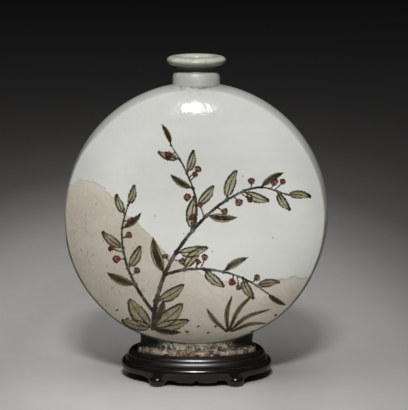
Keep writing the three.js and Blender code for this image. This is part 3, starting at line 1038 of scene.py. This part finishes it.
def foot_look():
    look = Look("foot_clay_and_drips", IOR=1.5)
    gap = look.maths("ADD", look.attribute("drip"), look.patches(1.3, 0.2, 0.8, 0.6, -0.6))
    drip = look.span(gap, 0.2, -0.3)
    seam = look.span(look.offset(gap, 0.1), 0.45, 0.1, 0, 0.8)
    seam = look.product(seam, look.patches(2.6, 0.4, 0.55, detail=2))
    # Painted shadow: the waist is made nearly black at both ends, where the body shades it.
    painted_shadow_ends = look.span(look.offset(look.x, 0.0), 25, 33, 0, 0.98)
    painted_shadow_ends = look.product(painted_shadow_ends, look.span(look.z, FLANGE_TOP + 0.5, FLANGE_TOP + 1.6))

    glaze = look.mix(look.patches(2.6, 0.4, 0.58), (98, 95, 83), (170, 166, 151))
    glaze = look.mix(look.patches(2.0, 0.56, 0.62), glaze, (44, 40, 34))
    colour = look.layers(foot_clay(look), ((drip, glaze), (seam, (34, 30, 27)), (painted_shadow_ends, (16, 10, 6))))
    rough = look.maths("MAXIMUM", look.span(drip, 0, 1, 0.6, 0.3), look.product(painted_shadow_ends, 0.75))
    height = look.maths("ADD", drip, look.noise(2.0, 4))
    return look.finish(colour, rough, look.bump(height, 0.4))


def wood_look():
    look = Look("dark_polished_hardwood", IOR=1.5, Specular_IOR_Level=0.5)
    grain = look.noise(1.6, 4, (0.08, 0.3, 1), 0.6, 0.4)
    colour = look.mix(look.span(grain, 0.35, 0.7), (14, 12, 10), (25, 20, 16))
    colour = look.mix(look.patches(22, 0.4, 0.7, 0.5), colour, (19, 16, 14))
    # The board is polished less than the apron and the rail, and its seat inside the rail least.
    board = look.span(look.z, APRON_TOP, APRON_TOP + 0.4, 0, 0.13)
    rail = look.span(look.z, SEAT, SEAT + 0.2, 0, 0.05)
    seat = look.span(look.length(look.place, (1 / RAIL[0], 1 / RAIL[1], 0)), 0.98, 0.92, 0, 0.2)
    seat = look.product(seat, look.span(look.offset(look.z, SEAT), 0.4, 0.1))
    rough = look.maths("ADD", look.span(grain, 0.3, 0.7, 0.15, 0.21), look.maths("SUBTRACT", board, rail))
    return look.finish(colour, look.maths("ADD", rough, seat), look.bump(grain, 0.03))


# The floor's pool of light: its middle, how much narrower it is across than deep, and how pale it
# is at so many metres from its middle.
POOL_MIDDLE = (-45.0, 0.0, 0.0)
POOL_SQUEEZE = 2.8
POOL = [(0.0, 0.41), (0.20, 0.39), (0.32, 0.33), (0.45, 0.345), (0.62, 0.29), (0.80, 0.175), (1.0, 0.088),
        (1.35, 0.051), (1.8, 0.037), (2.6, 0.033), (4.0, 0.032), (6.0, 0.03)]
WARMTH = (1.03, 1.0, 0.96)


def floor_look():
    look = Look("floor", Roughness=0.85, Specular_IOR_Level=0.2)
    ramp = look.tree.nodes.new("ShaderNodeValToRGB")
    farthest = POOL[-1][0]
    away = look.length(look.vector("SUBTRACT", look.place, POOL_MIDDLE), (POOL_SQUEEZE * MM, MM, 0))
    look.put(ramp, 0, look.maths("DIVIDE", away, farthest))
    elements = ramp.color_ramp.elements
    for position, _ in POOL[2:]:
        elements.new(position / farthest)
    for element, (position, level) in zip(elements, POOL):
        element.position = position / farthest
        element.color = (*(level * part for part in WARMTH), 1)
    speck = look.patches(30, 0.3, 0.7, 1.0, 0.97, detail=2)
    # Painted light: the floor a little paler towards the front.
    nearer = look.span(look.y, 60, -85, 0.95, 1.06)
    return look.finish(look.vector("SCALE", ramp.outputs[0], look.product(speck, nearer)))


# The pieces

def dress(obj, material, body, node):
    obj.data.materials.clear()
    obj.data.materials.append(material)
    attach(obj, body)
    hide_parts(node)


clay, neck, foot, wood = body_look(), neck_look(), foot_look(), wood_look()
front = half_body("flask_front", -1, FRONT_CELLS)
back = half_body("flask_back", 1, BACK_CELLS)
for half in (front, back):
    dress_body(half, half is front)
    let_out(half)
dress(front, clay, "flask", "front_shell")
dress(back, clay, "flask", "back_shell")
dress(neck_collar(), neck, "flask", "neck_collar")
dress(mouth_lip(), neck, "flask", "mouth_lip")
dress(foot_ring(), foot, "flask", "foot_ring")
dress(gallery_rim(), wood, "stand", "gallery_rim")
dress(seat_board(), wood, "stand", "seat_board")
dress(apron(), wood, "stand", "apron")
for corner in ("front_left", "front_right", "back_left", "back_right"):
    node = "foot_" + corner
    dress(ball_foot(node, "stand_" + node), wood, "stand", node)


# Floor, light and camera

# Sizes and distances here are in metres.
FLOOR_RADIUS = 9.0
FLOOR_STEPS = 96
SHADE = (0.05, 0.05, 0.05, 1)
BACKDROP = (0.008, 0.008, 0.007, 1)
CAMERA_PLACE = (0.00603, -1.4, 0.412)
CAMERA_DOWN = 10.99


def studio_floor():
    turn = around(FLOOR_STEPS)
    rim = [(FLOOR_RADIUS * math.cos(a), FLOOR_RADIUS * math.sin(a), 0.0) for a in turn]
    mesh = bpy.data.meshes.new("floor")
    mesh.from_pydata(rim, [], [list(range(FLOOR_STEPS))])
    floor = new_object("floor", mesh)
    floor.data.materials.append(floor_look())


def softbox(name, azimuth, elevation, distance, width, height, power):
    """A rectangular lamp aimed at the middle of the flask. Azimuth 0 is in front, and -90 on the left."""
    lamp = bpy.data.lights.new(name, "AREA")
    lamp.shape = "RECTANGLE"
    lamp.size, lamp.size_y = width, height
    lamp.energy = power
    obj = new_object(name, lamp)
    a, e = math.radians(azimuth), math.radians(elevation)
    away = np.array([math.sin(a) * math.cos(e), -math.cos(a) * math.cos(e), math.sin(e)])
    obj.location = away * distance + [0, 0, MIDDLE * MM]
    obj.rotation_euler = (math.pi / 2 - e, 0, a)
    return obj


def studio_world():
    """Dim light from all round, and a darker backdrop where the camera or a reflection sees it."""
    world = bpy.data.worlds.new("studio")
    bpy.context.scene.world = world
    world.use_nodes = True
    nodes, links = world.node_tree.nodes, world.node_tree.links
    path = nodes.new("ShaderNodeLightPath")
    seen = path.outputs["Is Camera Ray"]
    for ray in ("Is Glossy Ray", "Is Transmission Ray"):
        add = nodes.new("ShaderNodeMath")
        add.operation = "ADD"
        add.use_clamp = True
        links.new(seen, add.inputs[0])
        links.new(path.outputs[ray], add.inputs[1])
        seen = add.outputs[0]
    shade = nodes.new("ShaderNodeMix")
    shade.data_type = "RGBA"
    shade.inputs[6].default_value = SHADE
    shade.inputs[7].default_value = BACKDROP
    links.new(seen, shade.inputs[0])
    links.new(shade.outputs[2], nodes["Background"].inputs["Color"])


def studio_camera():
    data = bpy.data.cameras.new("camera")
    data.lens = 156.85
    data.clip_end = 40
    camera = new_object("camera", data)
    camera.location = CAMERA_PLACE
    camera.rotation_euler = (math.radians(90 - CAMERA_DOWN), 0, 0)
    bpy.context.scene.camera = camera


studio_floor()
softbox("key", azimuth=-1.8, elevation=45.8, distance=1.9, width=0.30, height=0.24, power=29)
overhead = softbox("overhead", azimuth=-25, elevation=80, distance=2.4, width=2.4, height=2.4, power=42)
overhead.visible_glossy = False
studio_world()
studio_camera()
bpy.context.scene.view_settings.view_transform = "Standard"
